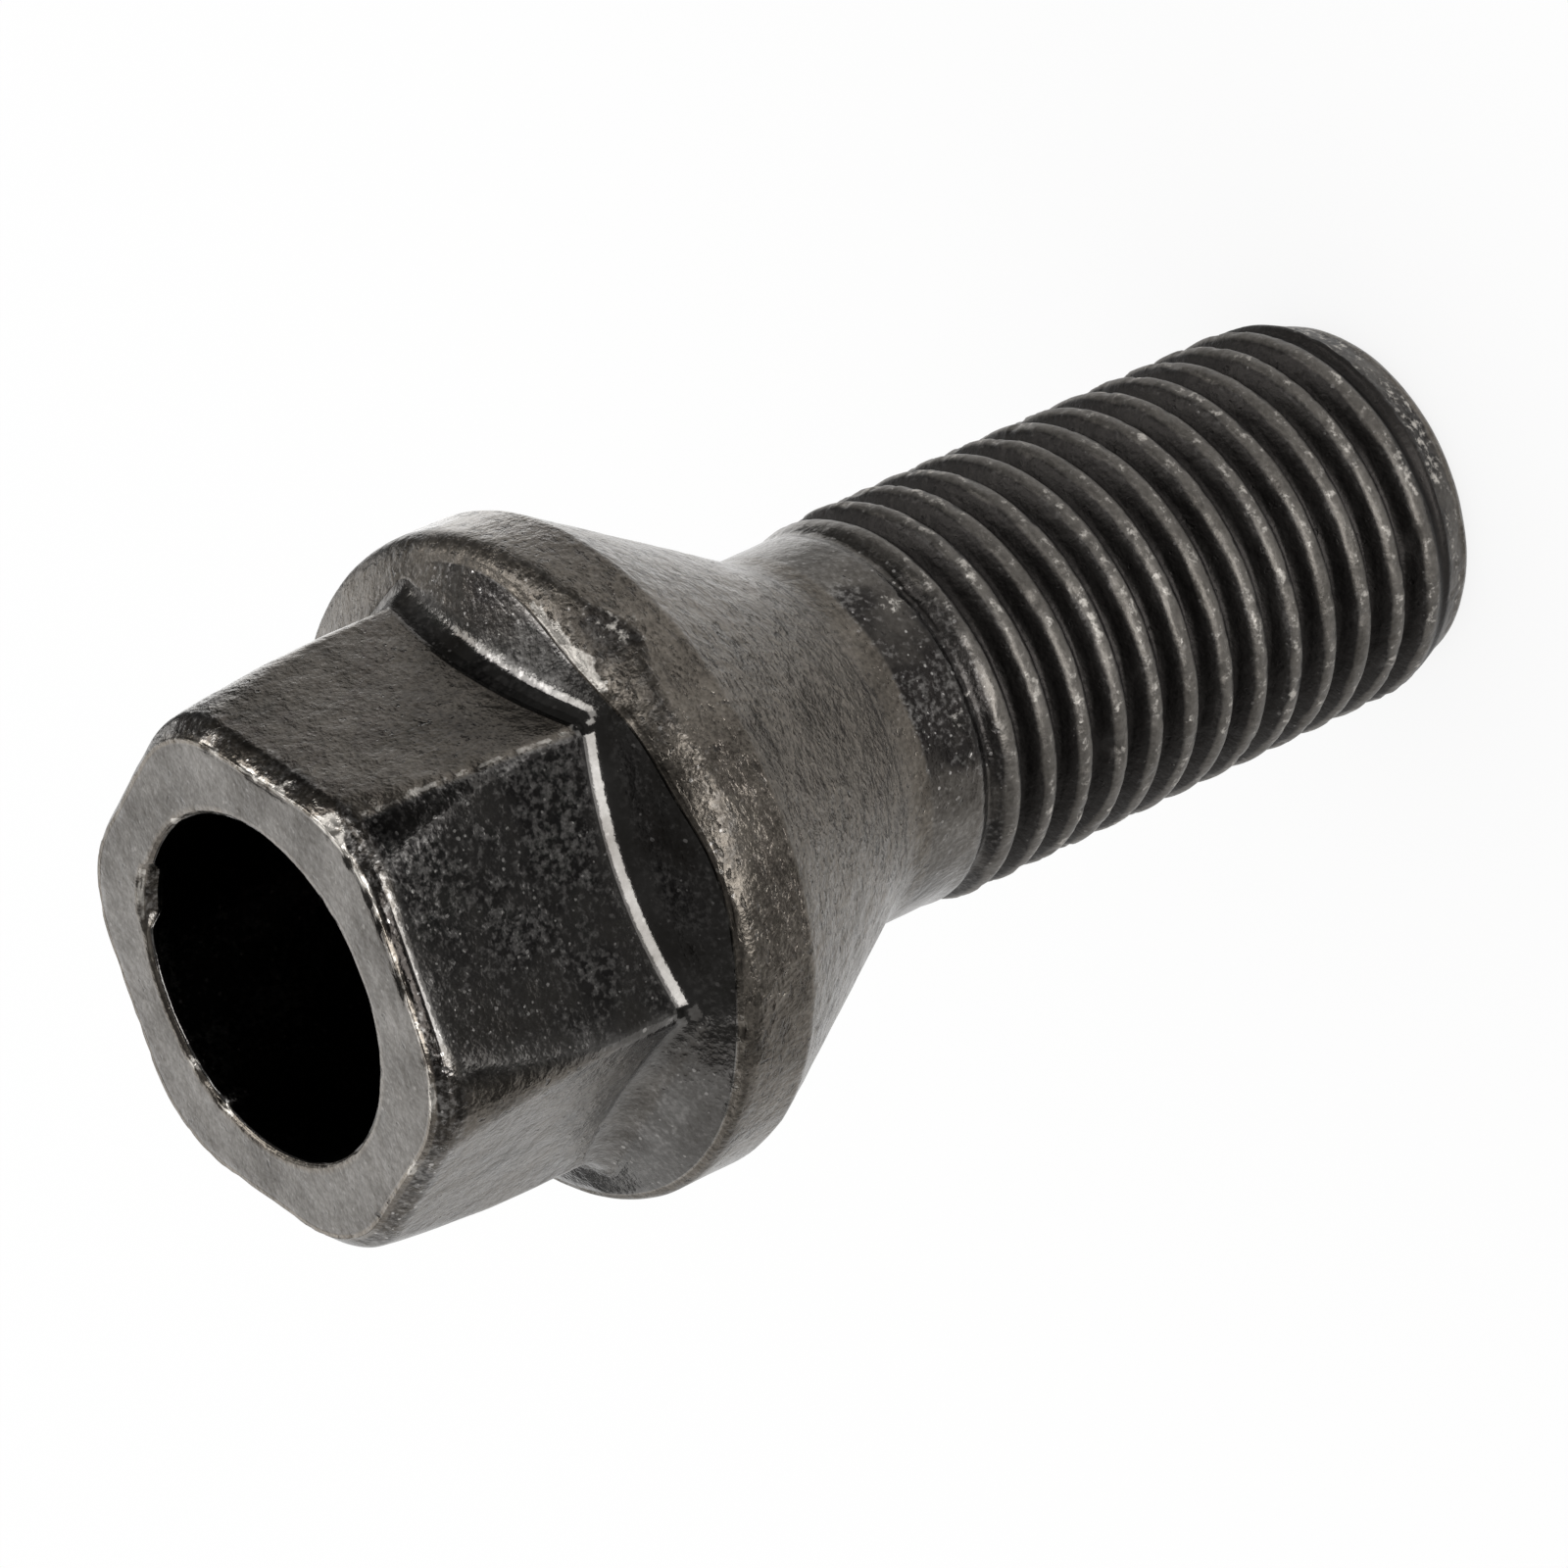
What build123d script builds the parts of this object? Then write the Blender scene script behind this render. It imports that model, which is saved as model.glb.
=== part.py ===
from build123d import *
import os
from math import cos, pi, radians, tan

# Wheel bolt, forged in one piece with a rolled thread. It stands on its threaded end with the head up:
# the origin is the centre of the threaded end, +Z runs along the axis to the head, sizes are millimetres.

# Threaded shank. The thread is a plain cylinder over its crests.
thread_diameter = 13.9  # over the crests of an M14 thread
shank_length = 26.0  # threaded end to the small end of the cone seat
plain_length = 3.4  # shank left unthreaded below the seat
shank_relief = 0.3  # the plain shank's radius is this much under the crests
runout_length = 1.5  # taper from the plain shank out to the crests
point_depth = 0.85  # radial depth of the lead chamfer, about down to the thread's root
point_length = 2.1  # axial length of the lead chamfer
point_break = 0.4  # small chamfer from the lead chamfer into the end face

# Collar with the cone seat
seat_angle = 60.0  # included angle of the cone that centres the wheel
seat_fillet = 2.5  # from the cone into the plain shank
rim_width = 2.65
rim_overhang = 1.75  # rim's radius beyond the hexagon's sharp corners
rim_break = 0.25  # small chamfer from the rim into the cone seat
ridge_break = 0.6  # chamfer from the rim into the collar's back
back_slope = 26.5  # fall of the collar's back from the hexagon out to the rim

# Hollow hexagon head. Its corners are sharp at the foot and underfilled at the end, as forging leaves them.
hex_across_flats = 17.0
hex_height = 10.75  # rim's back edge to the end face
corner_round_foot = 0.9
corner_round_end = 4.6
corner_fade = 5.5  # length from the end face over which the corners sharpen
end_round = 0.7  # end face into the flats
foot_fillet = 1.2  # flats into the collar's back
bore_wall = 2.55  # least wall between the bore and a flat
bore_depth = 10.0  # mouth to the edge of the floor
bore_floor_slope = 15.0  # fall of the bore's floor to its centre
bore_lip = 0.3  # chamfer at the bore's mouth

# Radii and heights that follow
thread_radius = thread_diameter / 2
shank_radius = thread_radius - shank_relief
point_radius = thread_radius - point_depth
hex_corner_radius = hex_across_flats / 2 / cos(pi / 6)
rim_radius = hex_corner_radius + rim_overhang
bore_radius = hex_across_flats / 2 - bore_wall
plain_z = shank_length - plain_length
seat_z = shank_length + (rim_radius - shank_radius) / tan(radians(seat_angle / 2))
back_z = seat_z + rim_width
back_apex_z = back_z + rim_radius * tan(radians(back_slope))
end_z = back_z + hex_height
sharp_z = end_z - corner_fade
bore_floor_z = end_z - bore_depth
bore_centre_z = bore_floor_z - bore_radius * tan(radians(bore_floor_slope))


def hexagon(height, corner_round):
    """The head's section at a height, a hexagon with rounded corners."""
    with BuildSketch(Plane.XY.offset(height)) as section:
        RegularPolygon(hex_across_flats / 2, side_count=6, major_radius=False)
        fillet(section.vertices(), corner_round)
    return section.sketch


with BuildPart() as wheel_bolt:
    # Hexagon: a prism at the foot, then corners that round off towards the end
    add(hexagon(back_z, corner_round_foot))
    extrude(amount=sharp_z - back_z)
    add(hexagon(sharp_z, corner_round_foot))
    add(hexagon(end_z, corner_round_end))
    loft(ruled=True)
    fillet(wheel_bolt.faces().sort_by(Axis.Z)[-1].edges(), end_round)

    # Everything round, from the threaded end to the collar's back
    with BuildSketch(Plane.XZ) as turned_profile:
        with BuildLine():
            Polyline(
                (0, 0),
                (point_radius, 0),
                (thread_radius, point_length),
                (thread_radius, plain_z - runout_length),
                (shank_radius, plain_z),
                (shank_radius, shank_length),
                (rim_radius, seat_z),
                (rim_radius, back_z),
                (0, back_apex_z),
                close=True,
            )
        make_face()
        fillet(turned_profile.vertices().sort_by_distance((shank_radius, shank_length))[0], seat_fillet)
        breaks = (
            ((point_radius, 0), point_break),
            ((rim_radius, seat_z), rim_break),
            ((rim_radius, back_z), ridge_break),
        )
        for corner, length in breaks:
            chamfer(turned_profile.vertices().sort_by_distance(corner)[0], length)
    revolve(axis=Axis.Z)
    fillet(wheel_bolt.edges(Select.NEW), foot_fillet)

    # Blind bore in the head
    with BuildSketch(Plane.XZ):
        with BuildLine():
            Polyline(
                (0, end_z),
                (bore_radius + bore_lip, end_z),
                (bore_radius, end_z - bore_lip),
                (bore_radius, bore_floor_z),
                (0, bore_centre_z),
                close=True,
            )
        make_face()
    revolve(axis=Axis.Z, mode=Mode.SUBTRACT)

wheel_bolt.part.label = "wheel_bolt"
os.makedirs("parts", exist_ok=True)
export_step(wheel_bolt.part, "parts/wheel_bolt.step")
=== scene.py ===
from math import cos, degrees, pi, radians, sin, tan

import bpy
import numpy as np
from mathutils import Matrix, Vector, noise


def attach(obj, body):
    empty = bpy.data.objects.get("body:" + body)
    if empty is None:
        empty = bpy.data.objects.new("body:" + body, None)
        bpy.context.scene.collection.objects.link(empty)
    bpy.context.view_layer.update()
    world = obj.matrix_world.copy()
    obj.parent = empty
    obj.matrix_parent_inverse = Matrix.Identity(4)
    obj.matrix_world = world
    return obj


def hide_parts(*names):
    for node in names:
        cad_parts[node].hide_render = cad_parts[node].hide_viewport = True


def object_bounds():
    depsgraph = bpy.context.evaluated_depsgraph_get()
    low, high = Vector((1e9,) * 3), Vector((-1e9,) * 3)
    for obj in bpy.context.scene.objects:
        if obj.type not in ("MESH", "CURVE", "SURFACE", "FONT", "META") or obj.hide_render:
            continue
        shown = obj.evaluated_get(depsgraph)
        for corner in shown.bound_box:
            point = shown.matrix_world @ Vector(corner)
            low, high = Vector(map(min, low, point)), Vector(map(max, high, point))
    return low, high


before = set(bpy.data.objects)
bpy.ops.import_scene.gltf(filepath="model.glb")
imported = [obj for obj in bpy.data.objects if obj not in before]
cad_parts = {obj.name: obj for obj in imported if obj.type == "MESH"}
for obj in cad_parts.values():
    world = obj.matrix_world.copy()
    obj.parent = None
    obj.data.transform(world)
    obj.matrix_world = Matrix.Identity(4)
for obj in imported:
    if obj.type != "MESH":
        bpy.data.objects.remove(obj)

cad_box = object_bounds()

# Wheel bolt, forged in one piece, with a rolled thread and a black finish that has worn off its edges.
# The skin is worked out in millimetres in the frame of the CAD part, and goes into Blender in metres.
MM = 0.001

# Sizes from the frame
rim_radius = cad_box[1].x / MM
end_z = cad_box[1].z / MM

# Sizes of the solid, as in the part's source
thread_radius = 6.95
shank_radius = 6.65
shank_length = 26.0
plain_length = 3.4
point_radius = 6.1
point_length = 2.1
seat_slope = radians(30)
seat_fillet = 2.5
rim_width = 2.65
back_slope = radians(26.5)
apothem = 8.5
hex_height = 10.75
foot_fillet = 1.2
bore_radius = 5.95
bore_depth = 10.0
bore_floor_slope = radians(15)

# What differs around the axis is written in two ways, with angles in degrees from +X. A varied value is
# its amount all round, then bumps that each have an angle, an amount and a half width. A patch is an
# angle, a half width and the width over which it fades in at its edges.
front_flat = -90  # angle of the flat that faces the camera
soft_angle, soft_half = 15, 40  # here the collar's back edge is worn soft

# Finer shape that only the skin has
corner_round_foot = 0.8
corner_round_end = 5.0
corner_fade = 7.5  # length over which the corners sharpen, fast at the end and slowly further in
end_bevel = (0.33, ((-85, -0.16, 40),))  # radial width of the bevel around the end face, varied
end_bevel_depth = 0.45
end_round = 0.8  # rounding from the bevel into the flats
bore_lip = 0.15
lip_wear_depth = 0.25  # the bore is worn this far below its lip
bore_chip = (54, 14, 7)  # patch where a chip has broken out of the lip
bore_chip_width = 0.28
bore_chip_depth = 0.5
bore_foot_radius = 0.6
axis_gap = 0.05  # radius of the caps that close the skin at the axis
ridge_inset = (  # how far the collar's worn back edge stands in from the rim, varied
    0.12,
    ((-52, 0.85, 21), (-79, 0.34, 11), (-118, 0.16, 18), (soft_angle, 0.55, soft_half), (120, 0.14, 26)),
)
rim_bevel = (  # how far the worn bevel reaches below the collar's back edge, varied
    0.15,
    ((-87, 0.55, 15), (-52, 0.9, 7), (-50, 0.2, 22), (soft_angle, 0.5, soft_half)),
)
ridge_roundness = (0.3, ((soft_angle, 0.65, soft_half),))  # 0 is a flat bevel and 1 a round one, varied
ridge_shares = (0.05, 0.12, 0.25, 0.42, 0.6, 0.8, 1.0)  # places of the bevel's rings, from the top
ridge_strip = 0.25  # width of the worn strip on the collar's back beside the edge
seat_edge_radius = 0.5
thread_pitch = 1.6
crest_round = 0.5
root_round = 0.1
flank_slope = radians(60)
runout_length = 2.4
runout_rise = 0.4  # share of the runout that lies above the plain shank's lower end
thread_start = radians(40)
lead_start = 0.9  # the thread fades out towards this height above the tip
lead_length = 2.2
tip_radius = 0.6

# Unevenness that is taken off the skin
forging_lumps = ((0.05, 2.4), (0.025, 0.9))  # depth and size
least_lumps = 0.4  # share of the lumps that the smoothest places keep
chip_depth = 0.9
chip_size = 0.5
chip_from = 0.53  # unevenness from which an edge chips
chip_wear = 0.3  # wear from which an edge chips
chip_wear_most = 0.6

# Looks of the skin: wear bares the metal, roughness carries grain, and dirt and painted shade are black
# with white specks
end_edge_wear = (0.45, ((-70, 0.35, 65),))  # varied, as the next values are
bevel_wear = (0.4, ((-70, 0.35, 65),))
bevel_foot_wear = (0.05, ((-70, 0.25, 65),))
# Painted shade on the bevel around the end face, most at the front
bevel_dirt = (0.45, ((-90, 0.4, 25),))
end_round_rough = (1.0, ((-93, -0.65, 17),))
end_round_dirt = (0.4, ((-93, -0.4, 17),))
corner_wear = (0.35, ((-60, -0.35, 20),))
# Painted dark band along the fillet at the top flat's foot
foot_dirt = (0.0, ((-28, 0.45, 20),))
back_wear = (0.05, ((soft_angle, 0.2, soft_half),))
back_rough = (0.5, ((soft_angle, 0.7, soft_half),))
# Painted shade in the pocket at the collar's back, most at the front, and black dirt near -22
back_dirt = (0.12, ((-85, 0.3, 20), (-22, 0.5, 14)))
back_dull = (0.0, ((soft_angle, 0.4, soft_half),))
ridge_wear = (0.5, ((-46, 0.5, 14), (-125, 0.1, 35), (soft_angle, -0.3, soft_half)))
# Painted shade that dims the highlights on the worn bevel under the collar's back edge
ridge_dirt = (0.0, ((-50, 0.45, 24), (-88, 0.3, 18)))
foot_gloss = (-72, 75, 35)  # patch
# Black stain on the plain shank's front that is also painted shade
shank_stain_and_shade = (-76, 40, 14)  # patch
foot_rough = 0.75  # the fillet at the flats' foot where it isn't glossy
foot_smoothing = 0.55  # taken off that where it is
foot_dulling = 0.3  # given back towards the collar
# Painted shade low in the fillet, towards the collar
foot_low_dirt = 0.2
shank_dirt = 0.12
shank_stain_dirt = 0.6
shank_wear = 0.2
thread_rough = 0.8
crest_wear = 0.45
crest_wear_depth = 0.14  # depth below the crests over which their wear fades
crest_dirt = 0.22
# The thread's grooves are painted black as shade
groove_shade_from, groove_shade_fade = 0.03, 0.28  # shares of the thread's depth over which the grooves turn black
# Painted shadow of the last thread, darkening the finish near the tip
tip_dirt = 0.25
tip_dirt_height, tip_dirt_fade = 3.2, 1.5

# The front flat is glossy, and dirty and darkened with painted shade, between two edges. Their places, in
# degrees from its middle, and the half widths of the wear along its corners are given at the head's end
# and at its foot.
front_upper_edge = (33.8, 30.6)
front_lower_edge = (-21, -30)
front_edge_half = (2.4, 1.2)
corner_half = (3.4, 1.6)
front_edge_wear = 0.75
front_smoothing = 0.6
# Dirt and painted shade on the front flat
front_dirt = 0.5
upper_fade = 2.5
gloss_fade, gloss_reach = 8, 7.2  # the gloss fades in over the first, from the second below the lower edge
dirt_fade, dirt_reach = 9, 4.5

# Marks on the surface: the field they add to, radius, angle around the axis, height, half width and amount
marks = (
    # Hammered wear, with painted light on the dent there that faces up
    ("worn", 11.4, -50, 36.1, 1.4, 0.42),
    ("worn", 6.65, -54, 23.5, 1.4, 0.52),
    # Painted glint along the thread's start, standing in for a reflection
    ("worn", 6.75, -88, 22.7, 0.7, 0.5),
    ("worn", 6.65, -77, 24.0, 0.5, 0.4),
    ("worn", 6.65, -93, 23.6, 0.6, 0.45),
    ("worn", 11.3, -86, 36.9, 0.8, 0.2),
    ("worn", 11.4, -94, 36.7, 0.6, 0.2),
    ("worn", 8.75, -53.5, 47.65, 0.4, 0.8),
    ("worn", 8.7, -58, 47.8, 0.4, 0.5),
    ("worn", 8.6, -70, 47.7, 0.4, 0.4),
    ("worn", 8.3, -37.5, 47.6, 0.45, 0.6),
    ("worn", 8.1, -27.5, 47.7, 0.4, 0.5),
    ("worn", 8.6, -13.5, 47.5, 0.5, 0.5),
    ("worn", 8.6, -118, 47.8, 0.5, 0.35),
    ("worn", 6.1, 15, 47.9, 0.3, 0.6),
    ("worn", 6.0, 112, 47.85, 0.3, 0.5),
    ("worn", 5.95, 130, 47.8, 0.35, 0.6),
    ("worn", 8.2, -142, 47.75, 0.6, 0.3),
    ("nick", 6.9, -121, 17.2, 0.35, 0.25),
    ("nick", 6.9, -102, 3.2, 0.4, 0.3),
)

# Colours of the finish
coat_dark = (0.03, 0.0265, 0.0225, 1)
coat_grey = (0.14, 0.136, 0.131, 1)
coat_brown = (0.156, 0.138, 0.117, 1)
pit_colour = (0.015, 0.014, 0.013, 1)
# Black of stains and of painted shade
stain_and_shade_colour = (0.012, 0.011, 0.011, 1)
speck_colour = (0.36, 0.345, 0.33, 1)
metal_colour = (0.45, 0.425, 0.39, 1)
white = (1, 1, 1, 1)
floor_colour = (0.98, 0.98, 0.98, 1)
room_colour = (0.18, 0.18, 0.18, 1)

# Camera, from the photograph
view_azimuth = radians(-79.63)
view_elevation = radians(33.65)
view_roll = radians(114.69)
view_distance = 303.94 * MM
view_target = Vector((-0.977, -0.175, 26.38)) * MM
view_lens = 210.6
view_clip = 0.01

# Floor and cards, in metres. Cards show only in reflections. Each has its strength and its azimuths in
# degrees. Mats lie on the floor between two radii, and panels stand between two elevations in degrees.
floor_half = 3.0
panel_radius = 0.3
panel_z = 42 * MM  # height from which the panels' elevations are taken
mat_lift = 0.5 * MM  # mats lie lower than this, the further out they begin
mats = (
    ("dark_mat", 0.3, (-122, -72), (0.05, 0.1)),
    ("lower_mat", 0.5, (-146, -122), (0.05, 0.1)),
    ("corner_mat", 1.1, (-72, -28), (0.05, 0.1)),
    ("dark_surround", 0.1, (-165, 80), (0.1, 4.3)),
    ("front_sheet", 1.7, (-118, -72), (0.09, 0.3)),
    ("bright_sheet", 2.1, (38, 105), (0.043, 0.09)),
    ("cone_sheet", 1.35, (38, 105), (0.02, 0.043)),
    ("right_mat", 0.85, (-28, 38), (0.05, 0.1)),
)
panels = (
    ("front_panel", 7.0, (-118, -72), (-8, 20)),
    ("corner_panel", 4.0, (-46, -28), (14, 34)),
    ("corner_panel_top", 3.0, (-28, -4), (28, 50)),
    ("right_panel", 6.5, (-4, 22), (33, 54)),
    ("far_panel", 6.5, (22, 42), (33, 45)),
    ("far_panel_top", 1.3, (22, 46), (45, 66)),
    ("back_panel", 2.0, (75, 125), (18, 52)),
    ("back_panel_low", 1.7, (62, 115), (-8, 18)),
    ("gap_panel", 0.5, (46, 75), (18, 50)),
    ("left_panel", 1.1, (125, 170), (-7, 48)),
    ("low_left_panel", 0.8, (-178, -138), (8, 42)),
)

# Heights that follow
back_z = end_z - hex_height
seat_z = back_z - rim_width
plain_z = shank_length - plain_length
bore_floor_z = end_z - bore_depth


def sector_angles():
    """Angles of the skin's columns, closer together beside the six corners."""
    steps, evenness = 24, 0.3
    spread = np.arange(-steps, steps) / steps
    sector = pi / 6 * (evenness * spread + (1 - evenness) * spread**3)
    return np.concatenate([sector + corner * pi / 3 for corner in range(6)])


ANGLES = sector_angles()
FROM_CORNER = np.abs((ANGLES + pi / 6) % (pi / 3) - pi / 6)
FROM_FRONT = (np.degrees(ANGLES) - front_flat + 180) % 360 - 180


def corner_round(height):
    share = np.clip(1 - (end_z - height) / corner_fade, 0, 1)
    return corner_round_foot + (corner_round_end - corner_round_foot) * share**2


def hexagon_radius(inset, height):
    """Distance from the axis to the head's outline, drawn in by an inset."""
    flat_distance = apothem - inset
    rounding = corner_round(height) - inset
    centre = (flat_distance - rounding) / cos(pi / 6)
    tangent = np.arctan2(rounding * sin(pi / 6), centre + rounding * cos(pi / 6))
    across = centre * np.sin(FROM_CORNER)
    rounded = centre * np.cos(FROM_CORNER) + np.sqrt(np.maximum(rounding**2 - across**2, 0))
    flat = flat_distance / np.cos(pi / 6 - FROM_CORNER)
    return np.where(FROM_CORNER < tangent, rounded, flat)


def smooth_step(share):
    share = np.clip(share, 0, 1)
    return share * share * (3 - 2 * share)


def bump_at(value, middle, half_width):
    return np.exp(-(((value - middle) / half_width) ** 2))


def from_angle(middle):
    """Angle of each column from this one, in degrees, either way."""
    return np.abs((np.degrees(ANGLES) - middle + 180) % 360 - 180)


def varied(value):
    """A varied value at each column."""
    amount_all_round, bumps = value
    return amount_all_round + sum(
        amount * bump_at(from_angle(at), 0, half_width) for at, amount, half_width in bumps
    )


def patch(place):
    """A patch at each column: 1 inside it and 0 outside."""
    middle, half_width, fade = place
    return smooth_step((half_width - from_angle(middle)) / fade)


def towards_foot(ends, share):
    """A value on the flats at this share of the way from the head's end to its foot."""
    at_end, at_foot = ends
    return at_end + (at_foot - at_end) * share


def shares(steps):
    return np.arange(1, steps + 1) / steps


class Skin:
    """Rings around the axis, listed along the surface from the bore's floor to the threaded end."""

    FIELDS = ("worn", "rough", "dirt", "dull", "nick")

    def __init__(self):
        self.radii, self.heights, self.fields = [], [], {name: [] for name in self.FIELDS}

    def ring(self, radius, height, worn=0.0, rough=1.0, dirt=0.0, dull=0.0):
        self.radii.append(self.around(radius))
        self.heights.append(self.around(height))
        for name, value in zip(self.FIELDS, (worn, rough, dirt, dull, 0.0)):
            self.fields[name].append(self.around(value))

    @staticmethod
    def around(value):
        return np.broadcast_to(np.asarray(value, float), ANGLES.shape)

    def run(self, radius, height, steps, **looks):
        """A straight stretch from the last ring to this one."""
        start_radius, start_height = self.radii[-1], self.heights[-1]
        for share in shares(steps):
            ring_radius = start_radius + (radius - start_radius) * share
            self.ring(ring_radius, start_height + (height - start_height) * share, **looks)

    def arc(self, centre_radius, centre_height, radius, start, end, steps, **looks):
        """A round stretch that goes on from the last ring; angles run from outward towards +Z."""
        for turn in np.linspace(radians(start), radians(end), steps + 1)[1:]:
            self.ring(centre_radius + radius * cos(turn), centre_height + radius * sin(turn), **looks)


def add_bore(skin):
    """Bore from its floor to its mouth, where a chip has broken out of the lip."""
    # The bore's walls are painted dark as shade
    looks = {"rough": 0.6, "dirt": 0.6}
    inner = bore_radius - bore_foot_radius
    foot_turn = pi / 2 + bore_floor_slope
    foot_z = bore_floor_z + bore_foot_radius * (tan(foot_turn / 2) - tan(bore_floor_slope))
    skin.ring(axis_gap, bore_floor_z - bore_radius * tan(bore_floor_slope), **looks)
    skin.run(inner, foot_z - bore_foot_radius, steps=5, **looks)
    skin.arc(inner, foot_z, bore_foot_radius, start=-90, end=0, steps=5, **looks)
    chip = patch(bore_chip)
    whole = 1 - chip
    chip_dirt = 0.4 * chip
    lip_width = bore_lip + bore_chip_width * chip
    lip_depth = bore_lip + bore_chip_depth * chip
    skin.run(bore_radius, end_z - lip_depth - lip_wear_depth, steps=9, **looks)
    skin.run(bore_radius, end_z - lip_depth, steps=2, worn=0.3 * whole, rough=0.5, dirt=chip_dirt)
    middle = (bore_radius + lip_width / 2, end_z - lip_depth / 3)
    skin.run(*middle, steps=4, worn=0.5 * whole, dirt=chip_dirt)
    skin.run(bore_radius + lip_width, end_z, steps=3, worn=0.4 + 0.4 * chip)


def add_head_end(skin):
    """End face, the worn bevel around it, and the rounding from there into the flats."""
    edge_strip = 0.2  # width of the worn strip around the end face
    bevel = varied(end_bevel)
    bevel_turn = np.arctan2(bevel, end_bevel_depth)
    bevel_z = end_z - end_bevel_depth
    width = bevel + end_round * (1 - np.cos(bevel_turn))
    skin.run(hexagon_radius(width + edge_strip, end_z), end_z, steps=9, worn=0.05, rough=0.7)
    skin.run(hexagon_radius(width, end_z), end_z, steps=3, worn=varied(end_edge_wear))
    upper = (hexagon_radius(width - bevel / 4, end_z), end_z - end_bevel_depth / 4)
    skin.run(*upper, steps=2, worn=varied(bevel_wear))
    lower = (hexagon_radius(width - bevel, bevel_z), bevel_z)
    # The bevel's foot is painted dark as shade
    skin.run(*lower, steps=4, worn=varied(bevel_foot_wear), dirt=varied(bevel_dirt))
    looks = {"worn": 0.15, "rough": varied(end_round_rough), "dirt": varied(end_round_dirt)}
    for share in shares(8):
        turn = bevel_turn * (1 - share)
        height = bevel_z - end_round * (np.sin(bevel_turn) - np.sin(turn))
        skin.ring(hexagon_radius(end_round * (1 - np.cos(turn)), height), height, **looks)


def add_flats(skin):
    """Flats with worn corners, of which the front one is the glossiest, and the dirtiest and darkest with
    painted shade.
    """
    top_z = skin.heights[-1]
    foot_z = fillet_start()
    for share in shares(26):
        height = top_z + (foot_z - top_z) * share
        upper = towards_foot(front_upper_edge, share)
        above_lower = FROM_FRONT - towards_foot(front_lower_edge, share)
        below_upper = smooth_step((upper - FROM_FRONT) / upper_fade)
        glossy = below_upper * smooth_step((above_lower + gloss_reach) / gloss_fade)
        dirty = below_upper * smooth_step((above_lower + dirt_reach) / dirt_fade)
        front_wear = front_edge_wear * bump_at(FROM_FRONT, upper, towards_foot(front_edge_half, share))
        at_corner = bump_at(FROM_CORNER, 0, radians(towards_foot(corner_half, share)))
        worn = front_wear + varied(corner_wear) * at_corner
        rough = 1 - front_smoothing * glossy
        skin.ring(hexagon_radius(0, height), height, worn=worn, rough=rough, dirt=front_dirt * dirty)


def fillet_start():
    """Height at which the flats run into the fillet at their foot."""
    tangent = foot_fillet * tan((pi / 2 - back_slope) / 2)
    return back_z + (rim_radius - hexagon_radius(0, back_z)) * tan(back_slope) + tangent


def add_foot_fillet(skin):
    """Fillet from the flats into the collar's back, glossy near the flats and duller below, with painted
    shade low in the fillet and beside the top flat.
    """
    matt_from = 0.6  # share of the fillet from which it gets duller
    turn_down = pi / 2 - back_slope
    foot_radius = hexagon_radius(0, back_z)
    foot_z = fillet_start()
    for share in shares(8):
        turn = turn_down * share
        matt = smooth_step((share - matt_from) / (1 - matt_from))
        rough = foot_rough - (foot_smoothing - foot_dulling * matt) * patch(foot_gloss)
        dirt = foot_low_dirt * matt + varied(foot_dirt) * (1 - matt)
        radius = foot_radius + foot_fillet * (1 - cos(turn))
        skin.ring(radius, foot_z - foot_fillet * sin(turn), rough=rough, dirt=dirt)


def add_collar_back(skin):
    """Collar's back, its worn back edge and the bevel from there to the rim."""
    rim_wear, edge_wear_reach = 0.25, 0.2
    inset = varied(ridge_inset)
    ridge_z = back_z + inset * tan(back_slope)
    inner = rim_radius - inset
    wear = varied(ridge_wear)
    looks = {
        "worn": varied(back_wear),
        "rough": varied(back_rough),
        "dirt": varied(back_dirt),
        "dull": varied(back_dull),
    }
    strip = (inner - ridge_strip * cos(back_slope), ridge_z + ridge_strip * sin(back_slope))
    skin.run(*strip, steps=6, **looks)
    skin.run(inner, ridge_z, steps=3, worn=wear, rough=1.2, dull=0.4)
    bevel_z = back_z - varied(rim_bevel)
    drop = ridge_z - bevel_z
    curve = (inset**2 + drop**2) / (2 * inset)
    # Painted shade on the bevel
    dirt = varied(ridge_dirt)
    for share in ridge_shares:
        height = ridge_z - drop * share
        round_radius = rim_radius - curve + np.sqrt(curve**2 - (height - bevel_z) ** 2)
        flat_radius = inner + inset * share
        radius = flat_radius + (round_radius - flat_radius) * varied(ridge_roundness)
        edge_wear = rim_wear + (wear - rim_wear) * bump_at(share, 0, edge_wear_reach)
        skin.ring(radius, height, worn=edge_wear, rough=1.4, dirt=dirt, dull=0.5)


def add_seat(skin):
    """Rim, cone seat and the fillet under it."""
    slope = degrees(seat_slope)
    edge_z = seat_z + seat_edge_radius * tan(seat_slope / 2)
    edge_centre = (rim_radius - seat_edge_radius, edge_z)
    skin.run(rim_radius, edge_z, steps=5, worn=0.25, rough=1.3)
    skin.arc(*edge_centre, seat_edge_radius, start=0, end=-slope, steps=6, worn=0.3, rough=1.3)
    tangent = seat_fillet * tan(seat_slope / 2)
    seat_end = (shank_radius + tangent * sin(seat_slope), shank_length + tangent * cos(seat_slope))
    skin.run(*seat_end, steps=20, worn=0.5, rough=1.5)
    fillet_centre = (shank_radius + seat_fillet, shank_length - tangent)
    skin.arc(*fillet_centre, seat_fillet, start=180 - slope, end=180, steps=8, worn=0.3, rough=1.2)


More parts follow.
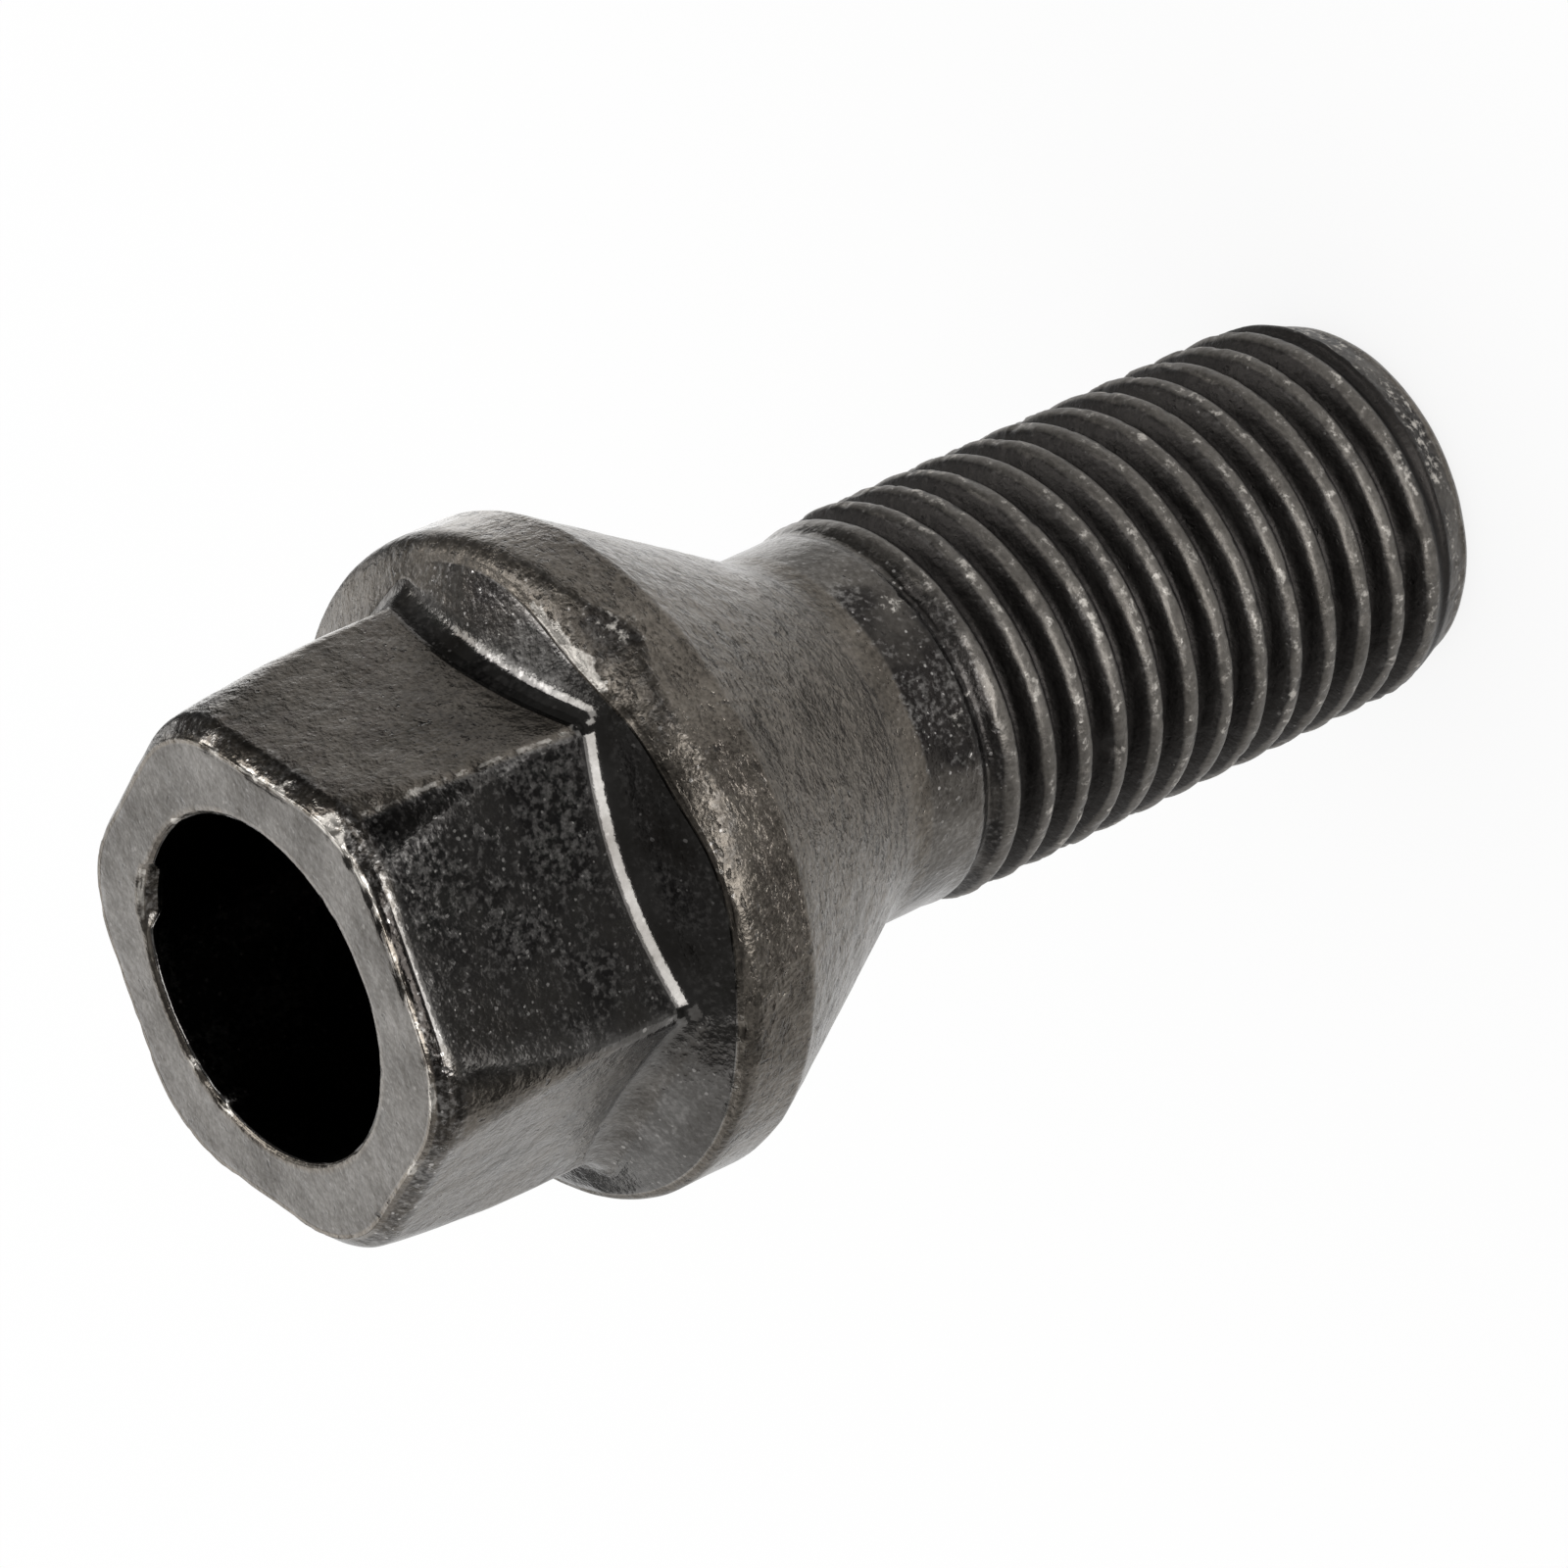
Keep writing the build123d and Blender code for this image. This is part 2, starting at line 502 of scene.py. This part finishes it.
def thread_drop(height):
    """Depth of the thread under its crests at this height, for a right-hand thread, and its full depth."""
    turns = height / thread_pitch - (ANGLES - thread_start) / (2 * pi)
    from_crest = np.abs((turns + 0.5) % 1 - 0.5) * thread_pitch
    half = thread_pitch / 2
    crest_end = crest_round * sin(flank_slope)
    root_start = half - root_round * sin(flank_slope)
    crest_drop = crest_round * (1 - cos(flank_slope))
    flank_drop = (root_start - crest_end) * tan(flank_slope)
    depth = crest_drop + flank_drop + root_round * (1 - cos(flank_slope))
    on_crest = crest_round - np.sqrt(np.maximum(crest_round**2 - from_crest**2, 0))
    on_flank = crest_drop + (from_crest - crest_end) * tan(flank_slope)
    in_root = depth - root_round + np.sqrt(np.maximum(root_round**2 - (half - from_crest) ** 2, 0))
    drop = np.where(from_crest < crest_end, on_crest, np.where(from_crest < root_start, on_flank, in_root))
    return drop, depth


def add_thread(skin):
    """Plain shank, runout and thread: worn crests, grooves painted black as shade, and a painted shadow
    near the tip.
    """
    ring_step = 0.13
    plain_dirt = shank_dirt + shank_stain_dirt * patch(shank_stain_and_shade)
    top_z = plain_z + runout_rise * runout_length
    skin.run(shank_radius, top_z, steps=6, worn=shank_wear, rough=thread_rough, dirt=plain_dirt)
    steps = round((top_z - tip_radius) / ring_step)
    for height in np.linspace(top_z, tip_radius, steps + 1)[1:]:
        drop, depth = thread_drop(height)
        formed = smooth_step((top_z - height) / runout_length)
        lead = point_radius + (thread_radius - point_radius) * height / point_length
        drop = drop * smooth_step((height - lead_start) / lead_length)
        rolled = shank_radius + (thread_radius - drop - shank_radius) * formed
        worn = shank_wear + crest_wear * formed * bump_at(drop, 0, crest_wear_depth)
        # Painted shade that blackens the grooves
        groove_shade = smooth_step((drop / depth - groove_shade_from) / groove_shade_fade)
        thread_dirt = crest_dirt + (1 - crest_dirt) * groove_shade
        dirt = plain_dirt * (1 - formed) + thread_dirt * formed
        # Painted shadow near the tip
        dirt = dirt + tip_dirt * smooth_step((tip_dirt_height - height) / tip_dirt_fade)
        skin.ring(np.minimum(rolled, lead), height, worn=worn, rough=thread_rough, dirt=dirt, dull=formed)


def add_tip(skin):
    start = skin.radii[-1]
    for turn in pi / 2 * shares(6):
        skin.ring(start - tip_radius * (1 - cos(turn)), tip_radius * (1 - sin(turn)), worn=0.15)
    skin.run(axis_gap, 0, steps=6, worn=0.2, rough=0)


def unevenness(points, size):
    """Smooth random values from 0 to 1 at these points, with lumps of this size."""
    return np.array([0.5 + 0.5 * noise.noise(Vector(point) / size) for point in points])


def add_marks(points, fields):
    """Adds the marks to their fields, each as a soft round spot."""
    for name, radius, at, height, half_width, amount in marks:
        middle = (radius * cos(radians(at)), radius * sin(radians(at)), height)
        apart = np.linalg.norm(points - middle, axis=1)
        fields[name] = fields[name] + amount * bump_at(apart, 0, half_width)


def wear_down(points, normals, fields):
    """Takes a little off the skin: forging lumps everywhere, chips along the worn edges, and nicks."""
    lumps = sum(depth * unevenness(points, size) for depth, size in forging_lumps)
    chipped = np.clip(fields["worn"] - chip_wear, 0, chip_wear_most)
    chips = chip_depth * chipped * np.clip(unevenness(points, chip_size) - chip_from, 0, 1)
    taken = np.clip(fields["rough"], least_lumps, 1) * lumps + chips + fields["nick"]
    return points - normals * taken[:, None]


def add_field(mesh, name, values):
    field = mesh.attributes.new(name, "FLOAT", "POINT")
    field.data.foreach_set("value", values.astype(np.float32))


def make_bolt():
    skin = Skin()
    for section in (
        add_bore, add_head_end, add_flats, add_foot_fillet, add_collar_back, add_seat, add_thread, add_tip
    ):
        section(skin)
    radii, heights = np.array(skin.radii), np.array(skin.heights)
    fields = {name: np.array(rows).ravel() for name, rows in skin.fields.items()}
    ring_count, column_count = radii.shape
    points = np.stack([radii * np.cos(ANGLES), radii * np.sin(ANGLES), heights], axis=-1).reshape(-1, 3)
    index = np.arange(ring_count * column_count).reshape(ring_count, column_count)
    ahead = np.roll(index, -1, axis=1)
    quads = np.stack([index[:-1], index[1:], ahead[1:], ahead[:-1]], axis=-1).reshape(-1, 4)
    caps = [index[0].tolist(), index[-1, ::-1].tolist()]
    mesh = bpy.data.meshes.new("bolt")
    mesh.from_pydata((points * MM).tolist(), [], quads.tolist() + caps)
    normals = np.empty(points.size, np.float32)
    mesh.vertices.foreach_get("normal", normals)
    add_marks(points, fields)
    points = wear_down(points, normals.reshape(-1, 3), fields)
    mesh.vertices.foreach_set("co", (points * MM).astype(np.float32).ravel())
    mesh.shade_smooth()
    for name, values in fields.items():
        add_field(mesh, name, values)
    bolt = bpy.data.objects.new("bolt", mesh)
    bpy.context.scene.collection.objects.link(bolt)
    return bolt


def new_material(name):
    """A material with no nodes yet, and its node tree."""
    material = bpy.data.materials.new(name)
    material.use_nodes = True
    material.node_tree.nodes.clear()
    return material, material.node_tree


def plug(tree, socket, value):
    """Gives a socket a value, or links it to another node's output."""
    if isinstance(value, bpy.types.NodeSocket):
        tree.links.new(value, socket)
    else:
        socket.default_value = value


def new_node(tree, kind, settings=(), **inputs):
    node = tree.nodes.new("ShaderNode" + kind)
    for name, value in dict(settings).items():
        setattr(node, name, value)
    for name, value in inputs.items():
        plug(tree, node.inputs[name.replace("_", " ")], value)
    return node


def noise_of(tree, place, size, detail=2.0, roughness=0.55):
    """Noise from 0 to 1 with lumps of about this many millimetres."""
    made = new_node(
        tree, "TexNoise", Vector=place, Scale=0.5 / (size * MM), Detail=detail, Roughness=roughness
    )
    return made.outputs["Fac"]


def ramp(tree, value, low, high, to_low=0.0, to_high=1.0):
    made = new_node(
        tree, "MapRange", Value=value, From_Min=low, From_Max=high, To_Min=to_low, To_Max=to_high
    )
    return made.outputs["Result"]


def combine(tree, operation, first, second):
    made = new_node(tree, "Math", {"operation": operation})
    plug(tree, made.inputs[0], first)
    plug(tree, made.inputs[1], second)
    return made.outputs["Value"]


def plus(tree, first, second):
    return combine(tree, "ADD", first, second)


def times(tree, first, second):
    return combine(tree, "MULTIPLY", first, second)


def blend_colours(tree, share, first, second):
    made = new_node(tree, "Mix", {"data_type": "RGBA"})
    for number, value in ((0, share), (6, first), (7, second)):
        plug(tree, made.inputs[number], value)
    return made.outputs[2]


def around_axis(tree, place, stretch):
    """Coordinates that run around the axis, shortened by a stretch, then outward and upward."""
    split = new_node(tree, "SeparateXYZ", Vector=place)
    behind = times(tree, split.outputs["Y"], -1.0)
    turned = combine(tree, "ARCTAN2", split.outputs["X"], behind)
    along = times(tree, turned, thread_radius * MM / stretch)
    flat = new_node(tree, "CombineXYZ", X=split.outputs["X"], Y=split.outputs["Y"], Z=0.0)
    outward = new_node(tree, "VectorMath", {"operation": "LENGTH"}, Vector=flat.outputs["Vector"])
    bent = new_node(tree, "CombineXYZ", X=along, Y=outward.outputs["Value"], Z=split.outputs["Z"])
    return bent.outputs["Vector"]


def white_specks(tree, place, grain):
    """Sharp specks of several sizes and ragged outlines, spread thinly."""
    cell_size = 0.3 * MM
    cells = new_node(tree, "TexVoronoi", Vector=place, Scale=1 / cell_size)
    chance = new_node(tree, "SeparateColor", Color=cells.outputs["Color"]).outputs["Red"]
    size = times(tree, ramp(tree, chance, 0.4, 1.0, to_high=0.55), grain)
    return ramp(tree, combine(tree, "SUBTRACT", size, cells.outputs["Distance"]), 0.0, 0.08)


def pale_specks(tree, place, grain, mottle, rough, dirt, dull):
    """Pale clouds and specks on places with dirt and painted shade; the smoothest, the blackest and dull
    places have few.
    """
    flecks = noise_of(tree, place, size=0.1, detail=3.0)
    clouds = ramp(tree, plus(tree, flecks, times(tree, mottle, 0.6)), 0.8, 1.15, to_high=0.72)
    clouds = times(tree, clouds, ramp(tree, rough, 1.0, 1.5, to_low=1.0, to_high=0.4))
    clouds = times(tree, clouds, ramp(tree, dirt, 0.65, 0.85, to_low=1.0, to_high=0.45))
    specks = combine(tree, "MAXIMUM", clouds, white_specks(tree, place, grain))
    specks = times(tree, specks, ramp(tree, rough, 0.12, 0.3))
    specks = times(tree, specks, ramp(tree, dirt, 0.0, 0.35, to_low=0.15, to_high=0.9))
    specks = times(tree, specks, ramp(tree, dirt, 0.8, 0.95, to_low=1.0, to_high=0.0))
    return times(tree, specks, ramp(tree, dull, 0.0, 1.0, to_low=1.0, to_high=0.25))


def small_pits(tree, place, peel, rough, evenly):
    """Small pits, and on the roughest places scratches around the axis."""
    pits = times(tree, ramp(tree, peel, 0.66, 0.76), combine(tree, "MAXIMUM", evenly, 0.5))
    scuffs = noise_of(tree, around_axis(tree, place, stretch=1.5), size=0.11, detail=3.0)
    scratches = times(tree, ramp(tree, scuffs, 0.58, 0.68), ramp(tree, rough, 1.0, 1.4))
    return combine(tree, "MAXIMUM", pits, times(tree, scratches, 0.75))


def coat_colour(tree, grain, peel, mottle, worn, rough):
    """Black finish, from dark to a grey or brown sheen where it is rubbed."""
    texture = plus(tree, times(tree, grain, 0.6), times(tree, peel, 0.25))
    texture = times(tree, combine(tree, "SUBTRACT", texture, 0.42), rough)
    shades = plus(tree, texture, ramp(tree, mottle, 0.2, 0.8, to_low=0.02, to_high=0.5))
    shades = plus(tree, shades, times(tree, worn, 0.3))
    light = blend_colours(tree, ramp(tree, rough, 0.6, 1.0), coat_grey, coat_brown)
    return blend_colours(tree, ramp(tree, shades, 0.0, 0.6), coat_dark, light)


def black_steel():
    """Black finish over steel: fine grain, small pits and scratches, bare metal along worn edges, and
    black stains and painted shade.
    """
    material, tree = new_material("black_steel")
    place = new_node(tree, "TexCoord").outputs["Object"]
    grain = noise_of(tree, place, size=0.08)
    peel = noise_of(tree, place, size=0.2)
    dents = noise_of(tree, place, size=0.5, detail=1.0)
    mottle = noise_of(tree, place, size=1.2, detail=5.0)
    flaking = noise_of(tree, place, size=0.2, detail=4.0, roughness=0.65)
    worn, rough, dirt, dull = (
        new_node(tree, "Attribute", {"attribute_name": name}).outputs["Fac"]
        for name in ("worn", "rough", "dirt", "dull")
    )
    evenly = combine(tree, "MINIMUM", rough, 1.0)
    pits = small_pits(tree, place, peel, rough, evenly)
    flaked = plus(tree, flaking, times(tree, mottle, 0.4))
    bare = ramp(tree, plus(tree, worn, flaked), 1.4, 1.54)
    # Dirt and painted shade turn the finish black
    stain_and_shade = ramp(tree, plus(tree, dirt, times(tree, mottle, 1.6)), 1.1, 1.45)
    specks = pale_specks(tree, place, grain, mottle, rough, dirt, dull)

    coat = coat_colour(tree, grain, peel, mottle, worn, rough)
    pitted = blend_colours(tree, times(tree, pits, 0.75), coat, pit_colour)
    stained_and_shaded = blend_colours(tree, times(tree, stain_and_shade, 0.85), pitted, stain_and_shade_colour)
    specked = blend_colours(tree, specks, stained_and_shaded, speck_colour)
    colour = blend_colours(tree, bare, specked, metal_colour)

    matt = times(tree, ramp(tree, mottle, 0.3, 0.7, to_low=0.22, to_high=0.3), evenly)
    matt = plus(tree, matt, times(tree, dull, 0.26))
    matt = plus(tree, matt, times(tree, bare, 0.12))
    roughness = plus(tree, matt, ramp(tree, rough, 0.0, 1.0, to_low=0.07, to_high=0.0))

    height = combine(tree, "SUBTRACT", peel, times(tree, pits, 0.7))
    height = plus(tree, height, times(tree, grain, 0.5))
    height = plus(tree, height, times(tree, dents, 1.6))
    height = times(tree, height, rough)
    relief = new_node(tree, "Bump", Strength=0.9, Distance=0.045 * MM, Height=height)
    shader = new_node(
        tree,
        "BsdfPrincipled",
        Base_Color=colour,
        Roughness=roughness,
        Metallic=1.0,
        Normal=relief.outputs["Normal"],
    )
    new_node(tree, "OutputMaterial", Surface=shader.outputs["BSDF"])
    return material


def direction(azimuth, elevation):
    return Vector((cos(elevation) * cos(azimuth), cos(elevation) * sin(azimuth), sin(elevation)))


def add_camera():
    toward = direction(view_azimuth, view_elevation)
    level_right = (-toward).cross(Vector((0, 0, 1))).normalized()
    level_up = level_right.cross(-toward)
    right = cos(view_roll) * level_right - sin(view_roll) * level_up
    up = sin(view_roll) * level_right + cos(view_roll) * level_up
    turn = Matrix((right, up, toward)).transposed().to_4x4()
    camera = bpy.data.objects.new("camera", bpy.data.cameras.new("camera"))
    camera.data.lens = view_lens
    camera.data.clip_start = view_clip
    camera.matrix_world = Matrix.Translation(view_target + toward * view_distance) @ turn
    bpy.context.scene.collection.objects.link(camera)
    bpy.context.scene.camera = camera


def add_stage(name, points, faces, material):
    mesh = bpy.data.meshes.new(name)
    mesh.from_pydata(points, [], faces)
    mesh.materials.append(material)
    piece = bpy.data.objects.new(name, mesh)
    bpy.context.scene.collection.objects.link(piece)
    return piece


def add_floor():
    """A white floor: near white to the camera and in reflections, with the bolt's soft shadow on it."""
    plain_share = 0.85
    material, tree = new_material("white_floor")
    path = new_node(tree, "LightPath").outputs
    seen = combine(tree, "MAXIMUM", path["Is Camera Ray"], path["Is Glossy Ray"])
    seen = combine(tree, "MAXIMUM", seen, path["Is Transmission Ray"])
    lit = new_node(tree, "BsdfDiffuse", Color=floor_colour)
    plain = new_node(tree, "Emission", Color=white, Strength=1.0)
    mixed = new_node(tree, "MixShader", Fac=times(tree, seen, plain_share))
    plug(tree, mixed.inputs[1], lit.outputs["BSDF"])
    plug(tree, mixed.inputs[2], plain.outputs["Emission"])
    new_node(tree, "OutputMaterial", Surface=mixed.outputs["Shader"])
    corners = [(x * floor_half, y * floor_half, 0) for x, y in ((-1, -1), (1, -1), (1, 1), (-1, 1))]
    add_stage("floor", corners, [(0, 1, 2, 3)], material)


def add_card(name, strength, azimuths, near, far):
    """A curved card around the bolt that only reflections show, between two azimuths in degrees.

    near and far are its two edges, each a radius and a height in metres.
    """
    material, tree = new_material(name)
    glow = new_node(tree, "Emission", Color=white, Strength=strength)
    new_node(tree, "OutputMaterial", Surface=glow.outputs["Emission"])
    steps = 32
    points = [
        (radius * cos(turn), radius * sin(turn), height)
        for turn in np.linspace(radians(azimuths[0]), radians(azimuths[1]), steps + 1)
        for radius, height in (near, far)
    ]
    faces = [(2 * step, 2 * step + 1, 2 * step + 3, 2 * step + 2) for step in range(steps)]
    card = add_stage(name, points, faces, material)
    card.visible_camera = False
    card.visible_diffuse = False
    card.visible_shadow = False


def add_panel(name, strength, azimuths, elevations):
    """An upright card, between two elevations in degrees as seen from the head."""
    low, high = (
        (panel_radius, panel_z + panel_radius * tan(radians(elevation))) for elevation in elevations
    )
    add_card(name, strength, azimuths, low, high)


def add_mat(name, strength, azimuths, radii):
    """A card that lies on the floor; one nearer the bolt lies over one further out."""
    height = mat_lift * (1 - radii[0])
    add_card(name, strength, azimuths, (radii[0], height), (radii[1], height))


def add_world():
    """White to the camera, soft white light on the floor, and a dark room in reflections."""
    world = bpy.data.worlds.new("room")
    world.use_nodes = True
    bpy.context.scene.world = world
    tree = world.node_tree
    tree.nodes.clear()
    path = new_node(tree, "LightPath").outputs
    colour = blend_colours(tree, path["Is Glossy Ray"], white, room_colour)
    shade = new_node(tree, "Background", Color=colour, Strength=1.0)
    new_node(tree, "OutputWorld", Surface=shade.outputs["Background"])


bolt = make_bolt()
bolt.data.materials.append(black_steel())
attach(bolt, "root")
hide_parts("wheel_bolt")

add_camera()
add_floor()
add_world()
for mat in mats:
    add_mat(*mat)
for panel in panels:
    add_panel(*panel)
bpy.context.scene.view_settings.view_transform = "Standard"
